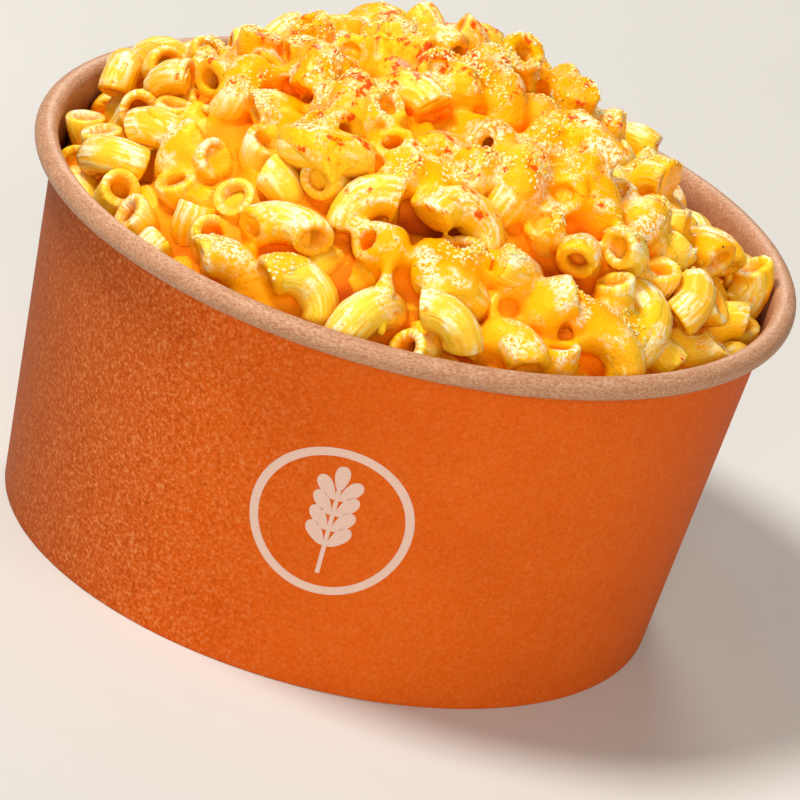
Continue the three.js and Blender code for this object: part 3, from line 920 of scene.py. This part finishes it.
class Shader:
    """A material's nodes, added and linked by short calls."""

    def __init__(self, name):
        self.material = bpy.data.materials.new(name)
        self.material.use_nodes = True
        self.tree = self.material.node_tree
        self.place = self.tree.nodes.new("ShaderNodeTexCoord").outputs["Object"]

    def put(self, value, socket):
        """Links a node's output to a socket, or sets a constant there."""
        if isinstance(value, bpy.types.NodeSocket):
            self.tree.links.new(value, socket)
        else:
            socket.default_value = value

    def set(self, **values):
        for key, value in values.items():
            surface = self.tree.nodes["Principled BSDF"]
            self.put(value, surface.inputs[key.replace("_", " ")])

    def node(self, kind, **values):
        node = self.tree.nodes.new("ShaderNode" + kind)
        for key, value in values.items():
            self.put(value, node.inputs[key.replace("_", " ")])
        return node

    def noise(self, scale, detail=4, roughness=0.55, stretch=None, place=None):
        place = place or self.place
        if stretch:
            place = self.node("Mapping", Scale=stretch, Vector=place).outputs["Vector"]
        node = self.node("TexNoise", Scale=scale, Detail=detail, Roughness=roughness, Vector=place)
        return node.outputs["Fac"]

    def attribute(self, name, output="Fac"):
        node = self.node("Attribute")
        node.attribute_name = name
        return node.outputs[output]

    def across(self, low, high):
        """From 0 to 1 between two places on the object's own X axis."""
        x = self.node("SeparateXYZ", Vector=self.place).outputs["X"]
        return self.node("MapRange", Value=x, From_Min=low, From_Max=high).outputs["Result"]

    def ramp(self, value, stops):
        node = self.node("ValToRGB", Fac=value)
        elements = node.color_ramp.elements
        while len(elements) < len(stops):
            elements.new(0.5)
        for element, (place, colour) in zip(elements, stops):
            element.position = place
            element.color = (*colour, 1) if isinstance(colour, tuple) else (colour,) * 3 + (1,)
        return node.outputs["Color"]

    def mix(self, share, a, b):
        node = self.node("Mix")
        node.data_type = "RGBA"
        self.put(share, node.inputs[0])
        for colour, socket in ((a, node.inputs[6]), (b, node.inputs[7])):
            self.put((*colour, 1) if isinstance(colour, tuple) else colour, socket)
        return node.outputs[2]

    def over(self, base, colour, value, *stops):
        """The base with a colour over it, where a ramp of the value lets it show."""
        return self.mix(self.ramp(value, stops), base, colour)

    def maths(self, kind, a, b):
        node = self.node("Math")
        node.operation = kind
        self.put(a, node.inputs[0])
        self.put(b, node.inputs[1])
        return node.outputs[0]

    def times(self, first, *others):
        for other in others:
            first = self.maths("MULTIPLY", first, other)
        return first

    def total(self, *parts):
        """The sum of (value, weight) pairs."""
        first, *others = (self.times(value, weight) for value, weight in parts)
        for other in others:
            first = self.maths("ADD", first, other)
        return first

    def bump(self, height, distance, strength, over=None):
        node = self.node("Bump", Strength=strength, Distance=distance, Height=height)
        if over:
            self.put(over, node.inputs["Normal"])
        return node.outputs["Normal"]


def kraft_shader():
    s = Shader("kraft_paper")
    pale, dark, fleck = (0.6, 0.355, 0.22), (0.37, 0.16, 0.08), (0.72, 0.5, 0.34)
    grain = s.noise(2600, 3, 0.7)
    fibre = s.noise(1500, 3, 0.65, stretch=(1, 1, 2))
    cloud = s.noise(260, 3)
    base = s.over(dark, pale, fibre, (0.36, 0), (0.66, 1))
    base = s.over(base, dark, cloud, (0.4, 0), (0.65, 0.35))
    base = s.over(base, fleck, grain, (0.6, 0), (0.72, 0.6))
    # Painted shade on the inner wall under the bead: mottled, darkest on the bowl's left and
    # browner on its right.
    painted_inner_shade = s.times(s.attribute("painted_inner_shade"), s.ramp(cloud, [(0.3, 0.75), (0.6, 1)]))
    painted_shade_colour = s.mix(s.across(0.01, 0.06), (0.05, 0.011, 0.005), (0.34, 0.1, 0.03))
    s.set(Base_Color=s.mix(painted_inner_shade, base, painted_shade_colour), Roughness=0.5)
    s.set(Specular_IOR_Level=0.35, Specular_Tint=(1, 0.75, 0.55, 1))
    s.set(Normal=s.bump(fibre, 0.00006, 0.6))
    return s.material


def print_shader():
    """Orange print, rubbed pale and spotted on the bowl's left, and darker towards its left edge
    with painted shade.
    """
    s = Shader("orange_print")
    tones = [(0.3, (0.64, 0.095, 0.004)), (0.7, (0.7, 0.115, 0.006))]
    shaded, blotched = (0.36, 0.075, 0.013), (0.64, 0.17, 0.035)
    pale, deep = (0.74, 0.3, 0.11), (0.3, 0.038, 0.004)
    grain = s.noise(1300, 3, 0.75)
    blotch = s.noise(420, 4, 0.7)
    cloud = s.noise(38, 3)
    side = s.across(0.005, -0.075)
    rubbed = s.ramp(side, [(0.1, 0.05), (0.5, 0.85), (0.72, 0.7), (0.9, 0.35)])
    # Painted shade: the print goes darker towards the bowl's left edge.
    base = s.over(s.ramp(cloud, tones), shaded, side, (0.4, 0), (0.9, 1))
    base = s.over(base, blotched, blotch, (0.45, 0), (0.68, 0.25))
    high = s.ramp(grain, [(0.52, 0), (0.66, 1)])
    base = s.mix(s.times(high, s.ramp(rubbed, [(0, 0.12), (1, 0.9)])), base, pale)
    low = s.ramp(grain, [(0.32, 1), (0.47, 0)])
    base = s.mix(s.times(low, s.ramp(rubbed, [(0, 0.2), (1, 0.95)])), base, deep)
    s.set(Base_Color=base, Roughness=0.65)
    s.set(Specular_IOR_Level=0.12, Specular_Tint=(1, 0.5, 0.3, 1))
    s.set(Normal=s.bump(grain, 0.00004, 0.5))
    return s.material


def badge_shader():
    s = Shader("pale_pink_print")
    grain = s.noise(2300, 3, 0.75)
    base = s.ramp(grain, [(0.3, (0.7, 0.46, 0.38)), (0.7, (0.76, 0.55, 0.47))])
    s.set(Base_Color=base, Roughness=0.55, Specular_IOR_Level=0.3)
    s.set(Normal=s.bump(grain, 0.00004, 0.4))
    return s.material


def painted_highlight(s, base, grain, patchy, evenly, deepest):
    """Pale cream painted as highlight on the faces that look into the open air, where the grain
    and the patches agree and evenly to a given share, down to a given depth."""
    patch = s.ramp(s.noise(170, 3), [(patchy, 0), (patchy + 0.1, 1)])
    facing = s.ramp(s.attribute("up"), [(0.52, 0), (0.8, 0.95)])
    crowd = 0.1 + deepest
    clear = s.ramp(s.attribute("crowded"), [(crowd, 1), (crowd + 0.2, 0)])
    near_top = s.ramp(s.attribute("depth"), [(deepest, 1), (deepest + 0.25, 0)])
    share = s.maths("MAXIMUM", s.times(grain, patch), evenly)
    return s.mix(s.times(share, facing, clear, near_top), base, HIGHLIGHT_CREAM)


def browned(s, base):
    """Browned specks with orange round them, most of them on the crown's front."""
    place = s.total(
        (s.noise(340, 5, 0.65), 1),
        (s.attribute("browned"), 0.22),
        (s.attribute("ridge"), 0.08),
        (s.noise(70, 2), 0.2),
    )
    base = s.over(base, (1, 0.36, 0.001), place, (0.81, 0), (0.86, 0.8))
    return s.over(base, (0.8, 0.08, 0.001), place, (0.883, 0), (0.908, 1))


def crevice_shade(s, base, shift):
    """Painted shade: deeper orange where other food crowds in."""
    stops = (0.36 + shift, 0), (0.66 + shift, 0.9)
    return s.over(base, (1, 0.25, 0.0008), s.attribute("crowded"), *stops)


def moist(s, noise, driest, sunk, dull):
    """Wet, in places less so, and duller deep in the gaps."""
    wet = s.ramp(noise, driest)
    return s.maths("MAXIMUM", wet, s.ramp(s.attribute("depth"), [(0.5, sunk), dull]))


def pasta_shader():
    s = Shader("cooked_pasta")
    tones = [(0, (1, 0.5, 0.004)), (0.5, (1, 0.58, 0.01)), (1, (1, 0.68, 0.05))]
    patch = s.noise(230, 3)
    lines = s.noise(4.2, 2, 0.5, place=s.attribute("lengthwise", "Vector"))
    base = s.ramp(s.attribute("tone"), tones)
    base = s.over(base, (1, 0.42, 0.001), s.attribute("cheesy"), (0.3, 0), (0.8, 0.95))
    base = s.over(base, (1, 0.43, 0.002), patch, (0.5, 0), (0.66, 0.4))
    base = s.over(base, (1, 0.47, 0.004), lines, (0.38, 0.25), (0.5, 0))
    base = s.over(base, (1, 0.86, 0.26), lines, (0.56, 0), (0.68, 0.5))
    # Painted shade: deeper orange on the faces turned down, away from the open air.
    base = s.over(base, (1, 0.4, 0.001), s.attribute("up"), (0.2, 0.9), (0.6, 0))
    # Painted shade: deeper orange in the crevices between the elbows.
    base = crevice_shade(s, base, 0.1)
    # Painted shade: deeper orange where the elbow lies deep below the heap's top.
    base = s.over(base, (0.95, 0.31, 0.002), s.attribute("depth"), (0.55, 0), (0.85, 0.8))
    # Painted shade: the bores' inner faces a deeper orange.
    base = s.mix(s.times(s.attribute("bore"), 0.75), base, (0.92, 0.32, 0.003))
    streaks = s.total((lines, 0.6), (s.noise(1300, 3, 0.7), 0.4))
    streaks = s.ramp(streaks, [(0.43, 0), (0.56, 1)])
    # Painted highlight: pale cream in lengthwise streaks on the elbows' upward faces.
    base = browned(s, painted_highlight(s, base, streaks, 0.44, 0.04, 0.28))
    wet = moist(s, patch, [(0.35, 0.16), (0.65, 0.32)], 0.2, (0.75, 0.7))
    s.set(Base_Color=base, Roughness=wet)
    s.set(Specular_IOR_Level=0.45, Specular_Tint=(1, 0.84, 0.3, 1))
    s.set(Subsurface_Weight=0.35, Subsurface_Scale=0.003, Subsurface_Radius=(1, 0.5, 0.08))
    grainy = s.noise(1400, 3, 0.65)
    s.set(Normal=s.bump(grainy, 0.00022, 0.5, over=s.bump(lines, 0.0005, 0.7)))
    return s.material


def cheese_shader():
    s = Shader("melted_cheddar")
    tones = [(0.3, (1, 0.35, 0.0005)), (0.5, (1, 0.42, 0.0008)), (0.7, (1, 0.52, 0.002))]
    slow = s.noise(90, 4)
    depth = s.attribute("depth")
    base = s.ramp(slow, tones)
    base = s.over(base, (1, 0.66, 0.03), s.attribute("cheesy"), (0.1, 0.8), (0.75, 0))
    # Painted shade: deeper orange, then dark red, the deeper the cheese lies in the gaps.
    base = s.over(base, (0.97, 0.32, 0.001), depth, (0.35, 0), (0.6, 0.85))
    base = s.over(base, (0.5, 0.055, 0.0005), depth, (0.64, 0), (0.9, 0.95))
    grain = s.ramp(s.noise(1300, 3, 0.7), [(0.45, 0), (0.51, 1)])
    # Painted highlight: pale cream in grainy patches on the cheese's upward faces.
    # Painted shade: deeper orange where other food crowds in on the cheese.
    base = browned(s, painted_highlight(s, crevice_shade(s, base, 0), grain, 0.49, 0, 0.22))
    wet = moist(s, slow, [(0.3, 0.15), (0.7, 0.3)], 0.18, (0.72, 0.75))
    s.set(Base_Color=base, Roughness=wet)
    s.set(Specular_IOR_Level=0.38, Specular_Tint=(1, 0.82, 0.22, 1))
    s.set(Subsurface_Weight=0.3, Subsurface_Scale=0.0025, Subsurface_Radius=(1, 0.42, 0.03))
    blister = s.ramp(s.attribute("crown"), [(0, 0.4), (1, 1)])
    blister = s.bump(s.times(s.noise(420, 3, 0.6), blister), 0.0011, 0.6)
    grainy = s.ramp(s.noise(110, 3), [(0.42, 0.25), (0.58, 1)])
    s.set(Normal=s.bump(s.times(s.noise(1500, 4, 0.7), grainy), 0.0005, 0.6, over=blister))
    return s.material


def crumb_shader():
    s = Shader("grated_cheese")
    base = s.ramp(s.noise(420, 3), [(0.38, (1, 0.62, 0.02)), (0.6, (1, 0.9, 0.52))])
    s.set(Base_Color=base, Roughness=0.4, Subsurface_Weight=0.4, Subsurface_Scale=0.001)
    s.set(Specular_IOR_Level=0.4, Specular_Tint=(1, 0.85, 0.45, 1))
    s.set(Normal=s.bump(s.noise(2500, 2), 0.0001, 0.5))
    return s.material


def pepper_shader():
    s = Shader("black_pepper")
    tones = [(0.35, (0.012, 0.006, 0.003)), (0.65, (0.07, 0.03, 0.012))]
    s.set(Base_Color=s.ramp(s.noise(3000, 2), tones), Roughness=0.6)
    return s.material


def floor_shader():
    s = Shader("pale_floor")
    tones = [(0.3, (0.62, 0.61, 0.59)), (0.7, (0.64, 0.63, 0.61))]
    s.set(Base_Color=s.ramp(s.noise(6, 2), tones), Roughness=0.75, Specular_IOR_Level=0.2)
    return s.material


def studio():
    """A pale floor and soft light."""
    corners = np.array([(-1, -1, 0), (1, -1, 0), (1, 1, 0), (-1, 1, 0)]) * FLOOR_REACH
    floor = new_mesh("floor", corners, [range(4)])
    floor.data.materials.append(floor_shader())
    for name, place, width, watts, colour in LAMPS:
        light = bpy.data.lights.new(name, "AREA")
        light.shape = "DISK"
        light.size = width
        light.energy = watts
        light.color = colour
        lamp = bpy.data.objects.new(name, light)
        lamp.location = place
        aim = Vector(LIT_MIDDLE) - Vector(place)
        lamp.rotation_euler = aim.to_track_quat("-Z", "Y").to_euler()
        bpy.context.scene.collection.objects.link(lamp)
    world = bpy.data.worlds.new("studio")
    world.use_nodes = True
    background = world.node_tree.nodes["Background"]
    background.inputs["Color"].default_value = (1, 0.94, 0.86, 1)
    background.inputs["Strength"].default_value = 0.18
    bpy.context.scene.world = world
    bpy.context.scene.view_settings.view_transform = "Standard"


def photo_camera():
    """The photograph's own viewpoint, with its roll."""
    ahead = Vector((0, cos(CAMERA_DIP), -sin(CAMERA_DIP)))
    right = Vector((1, 0, 0))
    up = right.cross(ahead)
    c, s = cos(CAMERA_ROLL), sin(CAMERA_ROLL)
    right, up = c * right + s * up, c * up - s * right
    aim = Vector((0, 0, CAMERA_AIM[2])) + CAMERA_AIM[0] * right + CAMERA_AIM[1] * up
    place = Matrix.Translation(aim - CAMERA_DISTANCE * ahead)
    data = bpy.data.cameras.new("camera")
    data.lens = CAMERA_LENS
    data.sensor_width = CAMERA_SENSOR
    camera = bpy.data.objects.new("camera", data)
    camera.matrix_world = place @ Matrix((right, up, -ahead)).transposed().to_4x4()
    bpy.context.scene.collection.objects.link(camera)
    bpy.context.scene.camera = camera


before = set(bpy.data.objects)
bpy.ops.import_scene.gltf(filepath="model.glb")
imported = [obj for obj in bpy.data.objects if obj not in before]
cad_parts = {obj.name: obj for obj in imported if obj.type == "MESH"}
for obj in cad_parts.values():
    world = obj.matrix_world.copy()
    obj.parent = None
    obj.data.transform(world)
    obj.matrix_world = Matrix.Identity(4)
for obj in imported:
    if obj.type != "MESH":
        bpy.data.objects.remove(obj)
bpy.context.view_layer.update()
rng = np.random.default_rng(77)

wall_paper, wall_print, base = bowl_paper(), bowl_printed_face(), bowl_raised_base()
mark = badge()
elbows = with_under_elbows(top_elbows())
grid = FoodGrid(rng)
tubes = pasta(elbows, rng)
sauce = cheese(elbows, grid, rng)
for food in (tubes, sauce):
    food_attributes(food, grid)
specks = pepper(sauce, rng)
grated = crumbs(sauce, rng)

kraft = kraft_shader()
for piece, material, slot, node in (
    (wall_paper, kraft, "kraft_paper", "bowl_wall"),
    (wall_print, print_shader(), "printed_paper", "bowl_wall"),
    (mark, badge_shader(), "bowl_print", "bowl_wall"),
    (base, kraft, "kraft_paper", "bowl_base"),
    (tubes, pasta_shader(), "pasta", "macaroni_and_cheese"),
    (sauce, cheese_shader(), "cheese", "macaroni_and_cheese"),
    (grated, crumb_shader(), "cheese", "macaroni_and_cheese"),
    (specks, pepper_shader(), "pepper", "macaroni_and_cheese"),
):
    piece.data.materials.append(material)
    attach(piece, "root")
    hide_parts(node)

studio()
photo_camera()
